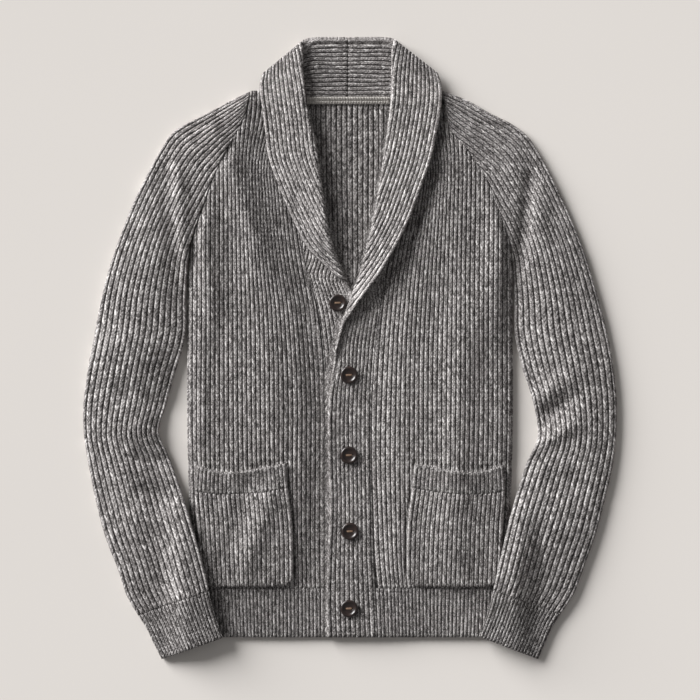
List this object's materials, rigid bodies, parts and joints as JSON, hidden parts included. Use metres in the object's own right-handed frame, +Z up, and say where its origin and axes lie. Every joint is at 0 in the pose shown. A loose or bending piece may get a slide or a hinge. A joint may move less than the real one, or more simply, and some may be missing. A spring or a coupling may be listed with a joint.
{
  "type": "shawl collar cardigan",
  "caption": "Chunky rib-knit shawl collar cardigan with raglan sleeves, patch pockets and buttoned front, lying flat on its back.",
  "frame": {"origin": "on the surface that the garment lies on, below the middle of its box", "axes": "+X to the wearer's left, +Y from hem to collar, +Z up, away from the surface"},
  "size_m": [0.7191, 0.8392, 0.0269],
  "materials": {
    "back": "marled grey wool, chunky rib",
    "back_hem": "marled grey wool, fine rib",
    "front_left": "marled grey wool, chunky rib",
    "front_right": "marled grey wool, chunky rib",
    "front_left_hem": "marled grey wool, fine rib",
    "front_right_hem": "marled grey wool, fine rib",
    "sleeve_left": "marled grey wool, chunky rib",
    "sleeve_right": "marled grey wool, chunky rib",
    "cuff_left": "marled grey wool, fine rib",
    "cuff_right": "marled grey wool, fine rib",
    "band_left": "marled grey wool, chunky rib",
    "band_right": "marled grey wool, chunky rib",
    "collar_back_left": "marled grey wool, chunky rib",
    "collar_back_right": "marled grey wool, chunky rib",
    "neck_tape": "marled grey wool, fine rib",
    "pocket_left": "marled grey wool, chunky rib",
    "pocket_right": "marled grey wool, chunky rib",
    "pocket_band_left": "marled grey wool, fine rib",
    "pocket_band_right": "marled grey wool, fine rib",
    "button_1": "polished dark brown horn",
    "button_2": "polished dark brown horn",
    "button_3": "polished dark brown horn",
    "button_4": "polished dark brown horn",
    "button_5": "polished dark brown horn"
  },
  "bodies": {
    "root": {"back": "back", "back_hem": "back_hem", "front_left": "front_left", "front_right": "front_right", "front_left_hem": "front_left_hem", "front_right_hem": "front_right_hem", "sleeve_left": "sleeve_left", "sleeve_right": "sleeve_right", "cuff_left": "cuff_left", "cuff_right": "cuff_right", "band_left": "band_left", "band_right": "band_right", "collar_back_left": "collar_back_left", "collar_back_right": "collar_back_right", "neck_tape": "neck_tape", "pocket_left": "pocket_left", "pocket_right": "pocket_right", "pocket_band_left": "pocket_band_left", "pocket_band_right": "pocket_band_right", "button_1": "button_1", "button_2": "button_2", "button_3": "button_3", "button_4": "button_4", "button_5": "button_5"}
  },
  "joints": []
}
